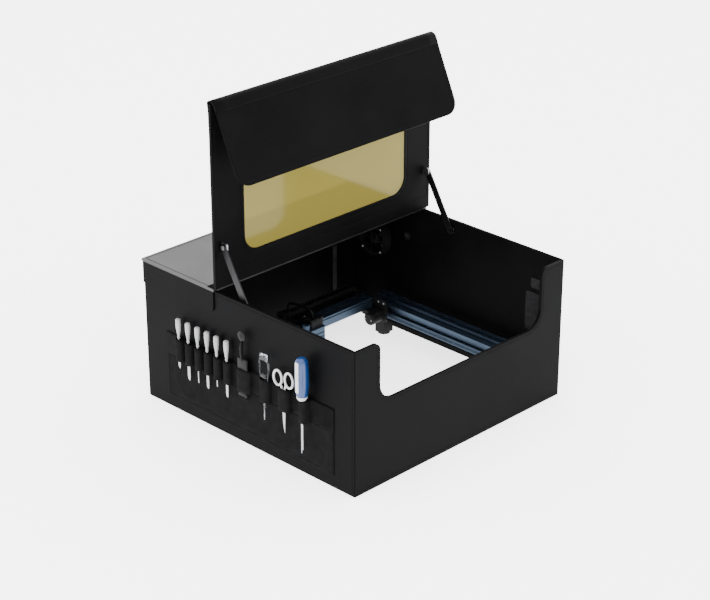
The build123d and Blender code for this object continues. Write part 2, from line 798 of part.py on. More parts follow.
wheel_number = 0
for side in (-1, 1):
    for wheel_y in wheel_places:
        wheel_number += 1
        keep(gantry_wheel(side, wheel_y), f"gantry_wheel_{wheel_number}")

# ---- Carriage and laser head ----
half_head = head_w / 2
with BuildPart() as carriage_plate:
    block(head_x - half_head, head_x + half_head, carriage_front, carriage_rear, 66, gantry_high + 12)
    block(head_x - 14, head_x + 14, carriage_front, chain_y + 6, gantry_high + 4, gantry_high + 8)
    block(head_x - 14, head_x + 14, chain_y - 11, chain_y + 11, gantry_high + 4, chain_top + 3)
    block(head_x - 14, head_x, chain_y - 11.2, chain_y + 11.2, chain_top - chain_t, chain_top + 3)
    block(head_x, head_x + 15, chain_y - 12, chain_y + 12, chain_low, chain_top + 0.2, Mode.SUBTRACT)
keep(carriage_plate.part, "carriage_plate")

with BuildPart() as laser_body:
    head_x0 = head_x - half_head
    head_x1 = head_x + half_head
    block(head_x0, head_x1, head_front, head_rear, head_low, head_high)
    fillet(laser_body.edges().filter_by(Axis.Z).group_by(Axis.Y)[0], 6)
    for groove in range(4):
        groove_z = head_low + 14 + 11 * groove
        block(head_x0, head_x1, head_front, head_front + 2, groove_z, groove_z + 3, Mode.SUBTRACT)
    bar_z(head_x, (head_front + head_rear) / 2, nozzle_low, head_low, nozzle_r)
    bar_z(head_x, (head_front + head_rear) / 2, nozzle_low, head_low, 4, Mode.SUBTRACT)
keep(laser_body.part, "laser_body")

cap_x1 = head_x + half_head - 2
with BuildPart() as laser_cap:
    block(cap_x0, cap_x1, head_front + 6, head_rear - 3, head_high, cap_high)
    fillet(laser_cap.edges().filter_by(Axis.Z), 5)
    for rib in range(5):
        rib_x = cap_x0 + 7 + 6 * rib
        block(rib_x, rib_x + 2, head_front + 6, head_rear - 3, cap_high - 6, cap_high, Mode.SUBTRACT)
keep(laser_cap.part, "laser_cap")

knob_x = head_x - half_head + 10
knob_y = head_front + 14
with BuildPart() as focus_knob:
    bar_z(knob_x, knob_y, head_high + knob_gap, head_high + 15, knob_r)
    with Locations((knob_x, knob_y, head_high + 9)):
        with PolarLocations(knob_r, 12):
            Cylinder(0.9, 13, mode=Mode.SUBTRACT)
keep(focus_knob.part, "focus_knob")

with BuildPart() as laser_cable:
    with BuildLine() as cable_line:
        FilletPolyline(
            (head_x + 8, cable_y, cap_high),
            (head_x + 8, cable_y, cable_peak),
            (head_x + 8, cable_end_y, cable_peak - 4),
            (head_x + 8, cable_end_y, chain_top + 3),
            radius=14,
        )
    with BuildSketch(Plane(cable_line.line @ 0, z_dir=cable_line.line % 0)):
        Circle(cable_r)
    sweep()
keep(laser_cable.part, "laser_cable")
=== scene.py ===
import json
import random
from math import cos, pi, radians, sin

import bmesh
import bpy
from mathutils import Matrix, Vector


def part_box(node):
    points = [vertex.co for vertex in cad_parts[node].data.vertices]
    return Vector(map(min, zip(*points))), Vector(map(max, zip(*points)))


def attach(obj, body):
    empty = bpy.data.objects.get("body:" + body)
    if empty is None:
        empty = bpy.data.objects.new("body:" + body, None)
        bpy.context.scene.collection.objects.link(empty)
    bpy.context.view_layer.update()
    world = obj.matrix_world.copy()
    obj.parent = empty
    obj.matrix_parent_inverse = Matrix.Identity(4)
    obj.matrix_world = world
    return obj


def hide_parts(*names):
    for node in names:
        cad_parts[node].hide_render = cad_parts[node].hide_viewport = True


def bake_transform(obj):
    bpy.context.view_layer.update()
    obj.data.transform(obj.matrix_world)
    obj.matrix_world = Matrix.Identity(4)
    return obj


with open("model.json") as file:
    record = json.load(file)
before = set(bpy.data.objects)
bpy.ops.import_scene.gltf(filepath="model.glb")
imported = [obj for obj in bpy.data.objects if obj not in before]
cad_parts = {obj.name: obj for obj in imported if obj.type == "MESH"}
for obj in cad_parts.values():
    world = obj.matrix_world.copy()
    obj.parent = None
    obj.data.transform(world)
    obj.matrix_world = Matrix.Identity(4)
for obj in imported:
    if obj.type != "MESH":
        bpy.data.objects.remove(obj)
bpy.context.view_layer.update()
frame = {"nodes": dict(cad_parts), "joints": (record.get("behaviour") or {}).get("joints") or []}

# ---------------------------------------------------------------- materials

def node_material(name):
    """New node material, returned with its node tree and its shader."""
    material = bpy.data.materials.new(name)
    material.use_nodes = True
    tree = material.node_tree
    shader = tree.nodes["Principled BSDF"]
    return material, tree, shader


def set_inputs(node, **inputs):
    """Set a node's input sockets by name; underscores stand for spaces."""
    for key, value in inputs.items():
        node.inputs[key.replace("_", " ")].default_value = value


def add_node(tree, kind, **inputs):
    """New node with its input sockets set by name."""
    node = tree.nodes.new(kind)
    set_inputs(node, **inputs)
    return node


def texture(tree, kind, coords, **inputs):
    """New texture node read at the given coordinates."""
    node = add_node(tree, "ShaderNodeTex" + kind, **inputs)
    tree.links.new(coords, node.inputs["Vector"])
    return node


def object_coords(tree, scale=(1, 1, 1)):
    """Object coordinates, stretched by scale: the texture stays on the piece as it moves."""
    coords = tree.nodes.new("ShaderNodeTexCoord")
    mapping = tree.nodes.new("ShaderNodeMapping")
    mapping.inputs["Scale"].default_value = scale
    tree.links.new(coords.outputs["Object"], mapping.inputs["Vector"])
    return mapping.outputs["Vector"]


def ramp(tree, source, low, high, start=0.3, stop=0.7):
    """Colour ramp between two values or two colours."""
    node = tree.nodes.new("ShaderNodeValToRGB")
    ends = node.color_ramp.elements
    for end, value, place in ((ends[0], low, start), (ends[1], high, stop)):
        end.position = place
        end.color = (*value, 1) if hasattr(value, "__len__") else (value, value, value, 1)
    tree.links.new(source, node.inputs["Fac"])
    return node.outputs["Color"]


def bump(tree, shader, source, strength, distance):
    """Bump from one height source."""
    node = add_node(tree, "ShaderNodeBump", Strength=strength, Distance=distance)
    tree.links.new(source, node.inputs["Height"])
    tree.links.new(node.outputs["Normal"], shader.inputs["Normal"])


def leatherette(name, dark, light, rough, sheen_level):
    """Grained coated cloth: fine cell grain, slow tone variation and slightly polished patches."""
    material, tree, shader = node_material(name)
    coords = object_coords(tree)
    grain = texture(tree, "Voronoi", coords, Scale=900.0)
    grain.feature = "SMOOTH_F1"
    pebble = texture(tree, "Noise", coords, Scale=420.0, Detail=4.0, Roughness=0.6)
    tone = texture(tree, "Noise", coords, Scale=7.0, Detail=3.0, Roughness=0.55)
    tree.links.new(ramp(tree, tone.outputs["Fac"], dark, light), shader.inputs["Base Color"])
    tree.links.new(ramp(tree, tone.outputs["Fac"], rough - 0.06, rough + 0.08), shader.inputs["Roughness"])
    height = add_node(tree, "ShaderNodeMix", Factor=0.45)
    tree.links.new(grain.outputs["Distance"], height.inputs["A"])
    tree.links.new(pebble.outputs["Fac"], height.inputs["B"])
    bump(tree, shader, height.outputs["Result"], 0.35, 0.0004)
    set_inputs(shader, Specular_IOR_Level=sheen_level)
    return material


def woven(name, dark, light, threads_per_m, relief, level):
    """Plain weave from two crossed thread waves, with uneven threads."""
    material, tree, shader = node_material(name)
    coords = object_coords(tree)
    waves = []
    for direction in ("X", "Y", "Z"):
        wave = texture(tree, "Wave", coords, Scale=threads_per_m / 6.3, Distortion=0.6, Detail=1.0)
        wave.bands_direction = direction
        waves.append(wave.outputs["Fac"])
    first = add_node(tree, "ShaderNodeMath")
    first.operation = "MULTIPLY"
    tree.links.new(waves[0], first.inputs[0])
    tree.links.new(waves[1], first.inputs[1])
    second = add_node(tree, "ShaderNodeMath")
    second.operation = "ADD"
    tree.links.new(first.outputs[0], second.inputs[0])
    tree.links.new(waves[2], second.inputs[1])
    fuzz = texture(tree, "Noise", coords, Scale=60.0, Detail=5.0)
    tree.links.new(ramp(tree, fuzz.outputs["Fac"], dark, light), shader.inputs["Base Color"])
    bump(tree, shader, second.outputs[0], relief, 0.0005)
    set_inputs(shader, Roughness=0.85, Specular_IOR_Level=level)
    return material


def metal(name, dark, light, rough, along=(1, 1, 1), metallic=1.0, streak=0.15, level=0.5):
    """Brushed or anodised metal: streaks stretched along one axis and faint handling marks."""
    material, tree, shader = node_material(name)
    lines = texture(tree, "Noise", object_coords(tree, along), Scale=260.0, Detail=6.0, Roughness=0.7)
    marks = texture(tree, "Noise", object_coords(tree), Scale=9.0, Detail=4.0)
    tree.links.new(ramp(tree, marks.outputs["Fac"], dark, light), shader.inputs["Base Color"])
    tree.links.new(ramp(tree, lines.outputs["Fac"], rough - 0.08, rough + 0.12), shader.inputs["Roughness"])
    bump(tree, shader, lines.outputs["Fac"], streak, 0.0002)
    set_inputs(shader, Metallic=metallic, Specular_IOR_Level=level)
    return material


def plastic(name, dark, light, rough, texture_scale=1400.0, relief=0.12, level=0.4, coat=0.0):
    """Moulded plastic or rubber: fine spark texture and slightly uneven gloss."""
    material, tree, shader = node_material(name)
    coords = object_coords(tree)
    spark = texture(tree, "Noise", coords, Scale=texture_scale, Detail=3.0)
    wear = texture(tree, "Noise", coords, Scale=35.0, Detail=5.0, Roughness=0.6)
    tree.links.new(ramp(tree, wear.outputs["Fac"], dark, light), shader.inputs["Base Color"])
    tree.links.new(ramp(tree, wear.outputs["Fac"], rough - 0.05, rough + 0.1), shader.inputs["Roughness"])
    bump(tree, shader, spark.outputs["Fac"], relief, 0.0002)
    set_inputs(shader, Specular_IOR_Level=level, Coat_Weight=coat)
    return material


def clear(name, tint, rough, see_through):
    """Clear or tinted see-through sheet with faint smears in its gloss."""
    material, tree, shader = node_material(name)
    smear = texture(tree, "Noise", object_coords(tree), Scale=6.0, Detail=6.0, Roughness=0.65)
    tree.links.new(ramp(tree, smear.outputs["Fac"], rough, rough + 0.06), shader.inputs["Roughness"])
    set_inputs(shader, Base_Color=(*tint, 1), Transmission_Weight=see_through, IOR=1.2)
    return material


MAT = {
    "wall": leatherette("leatherette_wall", (0.0011, 0.0011, 0.0013), (0.0022, 0.0022, 0.0025), 0.5, 0.022),
    # Top cover: a lit copy of the wall leatherette, made glossier and with its base colour lightened to paint in the
    # sheen the top catches.
    "cover": leatherette("leatherette_cover_painted_sheen", (0.006, 0.006, 0.0065), (0.010, 0.010, 0.011), 0.36, 0.30),
    "lid": leatherette("leatherette_lid", (0.0011, 0.0011, 0.0013), (0.0024, 0.0024, 0.0026), 0.52, 0.022),
    "lining": woven("lining_cloth", (0.0026, 0.0026, 0.0028), (0.0048, 0.0048, 0.0051), 900.0, 0.3, 0.03),
    "webbing": woven("webbing", (0.010, 0.010, 0.011), (0.018, 0.018, 0.019), 700.0, 0.7, 0.05),
    "thread": woven("thread", (0.004, 0.004, 0.0044), (0.008, 0.008, 0.0085), 2500.0, 0.4, 0.05),
    "window": clear("window_acrylic", (0.175, 0.145, 0.032), 0.04, 0.28),
    "clear": clear("clear_plastic", (0.86, 0.88, 0.92), 0.08, 1.0),
    "stay": metal("stay_strip", (0.014, 0.014, 0.015), (0.026, 0.026, 0.027), 0.42, (6, 1, 0.2)),
    "steel": metal("bright_steel", (0.22, 0.22, 0.23), (0.34, 0.34, 0.35), 0.28, (6, 6, 0.3)),
    "rail": metal("rail_anodised", (0.024, 0.038, 0.060), (0.038, 0.058, 0.088), 0.38, (8, 0.2, 8), 0.85),
    "beam": metal("beam_anodised", (0.028, 0.046, 0.072), (0.044, 0.068, 0.102), 0.36, (0.2, 8, 8), 0.85),
    "black_metal": metal(
        "powder_coat", (0.003, 0.003, 0.0035), (0.006, 0.006, 0.0065), 0.5, metallic=0.1, streak=0.3, level=0.12
    ),
    "black": plastic("black_moulding", (0.002, 0.002, 0.0022), (0.005, 0.005, 0.0055), 0.48, level=0.10),
    "rubber": plastic("black_rubber", (0.003, 0.003, 0.003), (0.006, 0.006, 0.006), 0.75, 800.0, 0.3, 0.08),
    "pearl": plastic("pearl_handle", (0.15, 0.15, 0.155), (0.24, 0.24, 0.25), 0.25, 300.0, 0.06, 0.5, 0.5),
    "white": plastic("white_moulding", (0.34, 0.34, 0.345), (0.46, 0.46, 0.465), 0.3, 900.0, 0.05, 0.5, 0.2),
    "blue": plastic("blue_handle", (0.003, 0.020, 0.085), (0.005, 0.030, 0.120), 0.3, 700.0, 0.06, 0.4, 0.15),
}

NODE_LOOK = {
    "wall": ("left_wall", "right_wall", "front_wall", "rear_wall", "cover_flaps", "cable_flap"),
    # The top cover takes the lit leatherette copy, whose lighter base colour is painted sheen.
    "cover": ("cover_panel",),
    "lid": ("lid_panel", "lid_roll", "front_flap"),
    "lining": ("tool_panel", "tool_band"),
    "webbing": ("wall_strap", "wall_pads"),
    "window": ("window_pane",),
    "clear": ("tweezers",),
    "stay": ("left_stay", "right_stay"),
    "steel": ("stay_brackets", "stay_catches", "drive_shaft", "driver_shaft"),
    "rail": ("left_rail", "right_rail"),
    "beam": ("gantry_beam", "laser_body", "focus_knob"),
    "black_metal": (
        "fan_guard", "front_beam", "rear_beam", "gantry_plates", "cable_tray", "y_motor", "x_motor",
        "carriage_plate",
    ),
    "black": (
        "fan_housing", "fan_rotor", "exhaust_duct", "machine_feet", "control_box", "drag_chain", "laser_cap",
        "laser_cable", "cleaning_brush", *(f"gantry_wheel_{number}" for number in range(1, 5)),
    ),
    "rubber": ("cable_grommet", "drive_belts"),
    "pearl": tuple(f"graver_{number}" for number in range(1, 7)),
    "white": ("power_button", "scissors"),
    "blue": ("driver_handle",),
}
for look, nodes in NODE_LOOK.items():
    for node in nodes:
        target = frame["nodes"][node]
        if not target.data.materials:
            target.data.materials.append(MAT[look])
        for place in target.material_slots:
            place.material = MAT[look]

# ---------------------------------------------------------------- mesh helpers

def add_piece(name, body, look, mesh_data, smooth=True):
    """Object from (vertices, faces), riding on a CAD body with one material."""
    vertices, faces = mesh_data
    mesh = bpy.data.meshes.new(name)
    mesh.from_pydata([tuple(v) for v in vertices], [], faces)
    mesh.validate()
    bm = bmesh.new()
    bm.from_mesh(mesh)
    bmesh.ops.recalc_face_normals(bm, faces=bm.faces)
    bm.to_mesh(mesh)
    bm.free()
    mesh.materials.append(MAT[look])
    piece = bpy.data.objects.new(name, mesh)
    bpy.context.collection.objects.link(piece)
    if smooth:
        mesh.shade_smooth()
    if body:
        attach(piece, body)
    return piece


def joined(parts):
    """Several (vertices, faces) as one."""
    vertices = []
    faces = []
    for part_vertices, part_faces in parts:
        first = len(vertices)
        vertices.extend(part_vertices)
        faces.extend([tuple(first + i for i in face) for face in part_faces])
    return vertices, faces


def sweep_section(path, section, closed=False, up=Vector((0, 0, 1))):
    """Closed section of (side, up) points carried along a path of Vectors."""
    count = len(path)
    vertices = []
    for index, point in enumerate(path):
        before = path[index - 1] if index or closed else point
        after = path[(index + 1) % count] if index < count - 1 or closed else point
        along = (after - before).normalized()
        side = along.cross(up)
        if side.length < 1e-4:
            side = along.cross(Vector((0, 1, 0)))
        side.normalize()
        lift = side.cross(along)
        vertices.extend([point + side * a + lift * b for a, b in section])
    size = len(section)
    faces = []
    for index in range(count if closed else count - 1):
        here = index * size
        there = ((index + 1) % count) * size
        for k in range(size):
            after = (k + 1) % size
            faces.append((here + k, here + after, there + after, there + k))
    if not closed:
        faces.append(tuple(reversed(range(size))))
        faces.append(tuple(range((count - 1) * size, count * size)))
    return vertices, faces


def ring(radius, count=12, squeeze=1.0):
    """Round or flattened section for sweep_section."""
    steps = [2 * pi * k / count for k in range(count)]
    return [(radius * cos(a), radius * squeeze * sin(a)) for a in steps]


def tube_faces(rows, count):
    """Faces between rows of count points each, with the first row closed."""
    faces = []
    for row in range(rows - 1):
        here = row * count
        for k in range(count):
            after = (k + 1) % count
            faces.append((here + k, here + after, here + count + after, here + count + k))
    faces.append(tuple(reversed(range(count))))
    return faces


def closed_tube_faces(rows, count):
    """Faces between rows of count points each, with the first and last rows closed."""
    last = (rows - 1) * count
    return tube_faces(rows, count) + [tuple(range(last, last + count))]


def lathe(profile, origin, axis, count=32):
    """Profile of (distance along the axis, radius) turned about the axis."""
    turn = Vector(axis).to_track_quat("Z", "Y").to_matrix()
    vertices = []
    for along, radius in profile:
        for k in range(count):
            angle = 2 * pi * k / count
            vertices.append(Vector(origin) + turn @ Vector((radius * cos(angle), radius * sin(angle), along)))
    return vertices, closed_tube_faces(len(profile), count)


def soft_box(low, high, edge, steps=3):
    """Box between two corners with rounded edges."""
    bm = bmesh.new()
    bmesh.ops.create_cube(bm, size=1.0)
    centre = (Vector(low) + Vector(high)) / 2
    size = Vector(high) - Vector(low)
    for vertex in bm.verts:
        vertex.co = centre + Vector(a * b for a, b in zip(vertex.co, size))
    bmesh.ops.bevel(bm, geom=bm.edges[:], offset=edge, segments=steps, profile=0.5, affect="EDGES")
    bm.verts.index_update()
    mesh_data = ([v.co.copy() for v in bm.verts], [tuple(v.index for v in f.verts) for f in bm.faces])
    bm.free()
    return mesh_data


def arc(centre, radius, start, stop, plane, steps=8):
    """Points on an arc in a plane given by two unit Vectors; angles in degrees."""
    u, v = plane
    points = []
    for k in range(steps + 1):
        angle = radians(start + (stop - start) * k / steps)
        points.append(centre + u * radius * cos(angle) + v * radius * sin(angle))
    return points


def line(*points):
    """Path through points given as plain numbers."""
    return [Vector(point) for point in points]


def along_path(path, spacing):
    """Points and directions at even spacing along a path."""
    found = []
    left = spacing / 2
    for a, b in zip(path, path[1:]):
        run = b - a
        length = run.length
        if length < 1e-9:
            continue
        place = left
        while place < length:
            found.append((a + run * (place / length), run / length))
            place += spacing
        left = place - length
    return found


def stitches(path, outward, spacing=0.0045, length=0.0032, radius=0.00042):
    """Row of thread stitches lying on a surface whose outward normal is given."""
    parts = []
    for point, direction in along_path(path, spacing):
        lift = Vector(outward).normalized()
        half = direction * (length / 2)
        low = lift * (radius * 0.1)
        high = lift * (radius * 0.9)
        thread = [point - half + low, point - half * 0.6 + high, point + half * 0.6 + high, point + half + low]
        parts.append(sweep_section(thread, ring(radius, 5), up=lift.orthogonal()))
    return joined(parts)


X = Vector((1, 0, 0))
Y = Vector((0, 1, 0))
Z = Vector((0, 0, 1))
joints = {joint["name"]: joint for joint in frame["joints"]}

front_low, front_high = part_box("front_wall")
left_low, left_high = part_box("left_wall")
right_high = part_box("right_wall")[1]
rear_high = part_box("rear_wall")[1]
lid_low, lid_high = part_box("lid_panel")
flap_low, flap_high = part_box("front_flap")
cover_low, cover_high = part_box("cover_panel")
middle_x = (left_low.x + right_high.x) / 2

NOTCH_HALF = 0.271
NOTCH_LOW_R = 0.044
NOTCH_RIM_R = 0.018
WINDOW_HALF = 0.262
WINDOW_R = 0.040
FLAP_LEAN = radians(24.5)
FLAP_REACH = 0.186
FLAP_CORNER = 0.034
FLAP_INNER_R = 0.012
FLAP_OUTER_R = 0.015
HEM_START = 0.012
FLAP_DOWN = Vector((0, -sin(FLAP_LEAN), -cos(FLAP_LEAN)))
FLAP_OUT = Vector((0, -cos(FLAP_LEAN), sin(FLAP_LEAN)))
BLADE_WIDTHS = (0.0075, 0.009, 0.003, 0.008, 0.0028, 0.007)

# ---------------------------------------------------------------- enclosure trim

def notch_path(y, inset):
    """Top edge of the front wall, down through the notch and up again, seen at one y."""
    wall_mesh = frame["nodes"]["front_wall"].data
    notch_z = min(v.co.z for v in wall_mesh.vertices if abs(v.co.x - middle_x) < 0.25 and v.co.z > 0.1)
    half = NOTCH_HALF + inset
    low_r = NOTCH_LOW_R + inset
    rim_r = NOTCH_RIM_R - inset
    top = front_high.z - inset
    floor = notch_z - inset
    plane = (X, Z)
    right = []
    right += arc(Vector((middle_x + half - low_r, y, floor + low_r)), low_r, -90, 0, plane, 10)
    right += arc(Vector((middle_x + half + rim_r, y, top - rim_r)), rim_r, 180, 90, plane, 8)
    right.append(Vector((right_high.x - inset, y, top)))
    left = [Vector((2 * middle_x - p.x, p.y, p.z)) for p in reversed(right)]
    return left + right


def enclosure_trim():
    """Folded edge bindings, seams and stitching on the fixed walls and cover."""
    rims = []
    for x in (left_low.x, right_high.x):
        inner = x + (0.004 if x < middle_x else -0.004)
        path = line((inner, front_low.y + 0.008, left_high.z), (inner, cover_low.y - 0.002, left_high.z))
        rims.append(sweep_section(path, ring(0.0041, 10, 0.30)))
    add_piece("wall_rim_folds", "enclosure", "wall", joined(rims))
    rows = []
    top = left_high.z - 0.007
    corner_y = front_low.y + 0.009
    for x, outward in ((left_low.x, -X), (right_high.x, X)):
        rows.append(stitches(line((x, corner_y + 0.003, top), (x, cover_low.y, top)), outward))
        rows.append(stitches(line((x, corner_y, 0.008), (x, corner_y, top - 0.005)), outward))
    rows.append(stitches(notch_path(front_low.y, 0.007), -Y))
    hem = line((left_low.x + 0.01, front_low.y, 0.008), (right_high.x - 0.01, front_low.y, 0.008))
    rows.append(stitches(hem, -Y))
    left_x = cover_low.x + 0.006
    right_x = cover_high.x - 0.006
    top_row = line(
        (left_x, cover_low.y + 0.01, cover_high.z),
        (left_x, cover_high.y - 0.01, cover_high.z),
        (right_x, cover_high.y - 0.01, cover_high.z),
        (right_x, cover_low.y + 0.01, cover_high.z),
    )
    rows.append(stitches(top_row, Z))
    add_piece("wall_stitching", "enclosure", "thread", joined(rows))


def cloth(path, normals, steps, thickness):
    """Thin sheet: a path of Vectors repeated at each step and thickened along the path's normals."""
    vertices = []
    for step in steps:
        for point, normal in zip(path, normals):
            vertices += [point + step, point + step + normal * thickness]
    size = 2 * len(path)
    faces = []
    for here in range(0, (len(steps) - 1) * size, size):
        there = here + size
        for a in range(0, size - 2, 2):
            faces.append((here + a, here + a + 2, there + a + 2, there + a))
            faces.append((here + a + 1, there + a + 1, there + a + 3, here + a + 3))
        faces.append((here, there, there + 1, here + 1))
        faces.append((there - 2, there - 1, there + size - 1, there + size - 2))
    for side in (0, (len(steps) - 1) * size):
        faces.extend((a, a + 1, a + 3, a + 2) for a in range(side, side + size - 2, 2))
    return vertices, faces


def fabric_strip(name, look, section, x0, x1, thickness=0.0008, rows=24):
    """Strip of coated cloth along X whose cross-section is a path of (y, z) Vectors."""
    steps = [X * (x0 + (x1 - x0) * k / rows) for k in range(rows + 1)]
    normals = []
    for index in range(len(section)):
        run = (section[min(index + 1, len(section) - 1)] - section[max(index - 1, 0)]).normalized()
        normals.append(Vector((0, -run.z, run.y)))
    mesh_data = cloth(section, normals, steps, thickness)
    piece = add_piece(name, None, look, mesh_data)
    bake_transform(piece)


def hinge_and_roll():
    """The cloth hinge between cover and lid, and the one rolled over the lid's free end to the flap."""
    hinge_point = Vector(joints["lid_hinge"]["pos_m"])
    skin = 0.0007
    section = [Vector((0, cover_low.y + 0.022 - 0.003 * k, cover_high.z + skin)) for k in range(7)]
    section.append(Vector((0, hinge_point.y + skin + 0.0022, cover_high.z + skin + 0.0008)))
    section += [Vector((0, lid_high.y + skin, hinge_point.z + 0.003 + 0.004 * k)) for k in range(6)]
    section.reverse()
    fabric_strip(
        "hinge_cloth", "lid", section, cover_low.x + 0.001, cover_high.x - 0.001,
    )
    axis = Vector(joints["flap_hinge"]["pos_m"])
    outer = flap_high.z - axis.z
    section = [Vector((0, lid_high.y + skin, axis.z - 0.045 + 0.006 * k)) for k in range(6)]
    for k in range(11):
        angle = radians(12 + (155.5 - 12) * k / 10)
        reach = outer + skin
        if k < 3:
            reach = outer - 0.004 + 0.002 * k
        section.append(Vector((0, axis.y + reach * cos(angle), axis.z + reach * sin(angle))))
    foot = section[-1]
    section += [foot + FLAP_DOWN * (0.004 * k) for k in range(1, 5)]
    section.reverse()
    fabric_strip(
        "roll_cloth", "lid", section, lid_low.x + 0.0005, lid_high.x - 0.0005,
    )


def lid_trim():
    """Window bezel lip on both faces of the lid, and the lid's stitched borders."""
    pane_low, pane_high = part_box("window_pane")
    centre_z = (pane_low.z + pane_high.z) / 2
    half_z = (pane_high.z - pane_low.z) / 2 - 0.0077

    def window_loop(y, grow):
        loop = []
        for sx, sz, start in ((1, -1, -90), (1, 1, 0), (-1, 1, 90), (-1, -1, 180)):
            side = middle_x + sx * (WINDOW_HALF - WINDOW_R)
            centre = Vector((side, y, centre_z + sz * (half_z - WINDOW_R)))
            loop += arc(centre, WINDOW_R + grow, start, start + 90, (X, Z), 8)
        return loop

    lip = sweep_section(window_loop(lid_low.y - 0.0002, 0.0045), ring(0.005, 10, 0.16), closed=True, up=Y)
    back = sweep_section(window_loop(lid_high.y + 0.0002, 0.0045), ring(0.005, 10, 0.16), closed=True, up=Y)
    add_piece("window_bezel", "lid", "lid", joined([lip, back]))
    rows = []
    for y, outward in ((lid_low.y, -Y), (lid_high.y, Y)):
        loop = window_loop(y, 0.013)
        rows.append(stitches(loop + loop[:1], outward))
        border = line(
            (lid_low.x + 0.008, y, lid_high.z - 0.05),
            (lid_low.x + 0.008, y, lid_low.z + 0.03),
            (lid_high.x - 0.008, y, lid_low.z + 0.03),
            (lid_high.x - 0.008, y, lid_high.z - 0.05),
        )
        rows.append(stitches(border, outward))
    add_piece("lid_stitching", "lid", "thread", joined(rows))


def flap_trim():
    """Folded hem and stitching round the flap's free edges."""
    axis = Vector(joints["flap_hinge"]["pos_m"])

    def hem(offset, inset):
        start = axis + FLAP_OUT * offset
        half = (flap_high.x - flap_low.x) / 2 - inset
        bend = FLAP_CORNER - inset
        low = FLAP_DOWN * (FLAP_REACH - inset - bend)
        path = [start + X * (-half) + FLAP_DOWN * HEM_START]
        path += arc(start + X * (-half + bend) + low, bend, 180, 90, (X, FLAP_DOWN), 8)
        path += arc(start + X * (half - bend) + low, bend, 90, 0, (X, FLAP_DOWN), 8)
        path.append(start + X * half + FLAP_DOWN * HEM_START)
        return path

    fold = sweep_section(hem((FLAP_INNER_R + FLAP_OUTER_R) / 2, 0.0006), ring(0.0016, 8, 1.05), up=FLAP_OUT)
    add_piece("flap_hem", "flap", "lid", fold)
    rows = [stitches(hem(FLAP_OUTER_R, 0.008), FLAP_OUT), stitches(hem(FLAP_INNER_R, 0.008), -FLAP_OUT)]
    add_piece("flap_stitching", "flap", "thread", joined(rows))


def cloth_along(path, normals, low_z, high_z, thickness, rows=8):
    """Upright sheet of cloth standing on a path, thickened along the path's normals."""
    steps = [Z * (low_z + (high_z - low_z) * k / rows) for k in range(rows + 1)]
    return cloth(path, normals, steps, thickness)


def side_normals(path):
    """Left-hand normals of a path of Vectors in a level plane."""
    normals = []
    for index in range(len(path)):
        run = path[min(index + 1, len(path) - 1)] - path[max(index - 1, 0)]
        normals.append(Vector((-run.y, run.x, 0)).normalized())
    return normals


def tool_pockets():
    """The tool holder's backing cloth, and its band sewn down between the tools in rounded loops."""
    band_low, band_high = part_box("tool_band")
    panel_low, panel_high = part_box("tool_panel")
    face = left_low.x - 0.0002
    back = [Vector((face, panel_high.y - (panel_high.y - panel_low.y) * k / 90, 0)) for k in range(91)]
    panel = add_piece(
        "pocket_cloth", "enclosure", "lining",
        cloth_along(back, [-X] * 91, panel_low.z, band_high.z - 0.004, 0.0009),
    )
    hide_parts("tool_panel")
    loops = [(f"graver_{number}", 0.0105, 0.0145) for number in range(1, 7)]
    loops += [("cleaning_brush", 0.022, 0.0145), ("tweezers", 0.015, 0.0145), ("scissors", 0.018, 0.0145)]
    loops += [("driver_handle", 0.011, 0.0235)]
    wall = left_low.x - 0.0012
    path = [Vector((wall, band_high.y, 0))]
    for node, half, stand in loops:
        middle = (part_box(node)[0].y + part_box(node)[1].y) / 2
        for k in range(21):
            turn = pi * k / 20
            across = cos(turn)
            side = abs(across) ** 0.55 * (1 if across > 0 else -1)
            path.append(Vector((wall - stand * sin(turn) ** 0.55, middle + half * side, 0)))
    path.append(Vector((wall, band_low.y, 0)))
    path = path[:1] + [b for a, b in zip(path, path[1:]) if (b - a).length > 1e-5]
    looped = cloth_along(path, side_normals(path), band_low.z, band_high.z, -0.0009)
    band = add_piece("pocket_band", "enclosure", "lining", looped)
    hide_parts("tool_band")
    rims = [
        sweep_section([Vector((p.x, p.y, z)) for p in path], ring(radius, 8))
        for z, radius in ((band_high.z - 0.0005, 0.0011), (band_low.z + 0.0005, 0.0009))
    ]
    hem = add_piece("pocket_binding", "enclosure", "lid", joined(rims))


def pillow(low, high, puff, steps=10):
    """Flat pad lying on a wall across X: rounded outline and a face that swells towards -X."""
    vertices = []
    faces = []
    middle = (Vector(low) + Vector(high)) / 2
    half_y = (high[1] - low[1]) / 2
    half_z = (high[2] - low[2]) / 2
    for side in (0, 1):
        for i in range(steps + 1):
            for j in range(steps + 1):
                u = 2 * i / steps - 1
                v = 2 * j / steps - 1
                round_off = 1 - 0.06 * (u * v) ** 4
                swell = (1 - u ** 4) * (1 - v ** 4)
                x = high[0] - (puff * (0.35 + 0.65 * swell) if side else 0)
                y = middle.y + half_y * u * round_off
                vertices.append(Vector((x, y, middle.z + half_z * v * round_off)))
    row = steps + 1
    for side in (0, row * row):
        for i in range(steps):
            for j in range(steps):
                a = side + i * row + j
                faces.append((a, a + 1, a + row + 1, a + row))
    edge = list(range(row)) + [i * row + steps for i in range(1, row)]
    edge += [steps * row + j for j in range(steps - 1, -1, -1)] + [i * row for i in range(steps - 1, 0, -1)]
    for a, b in zip(edge, edge[1:] + edge[:1]):
        faces.append((a, b, b + row * row, a + row * row))
    return vertices, faces


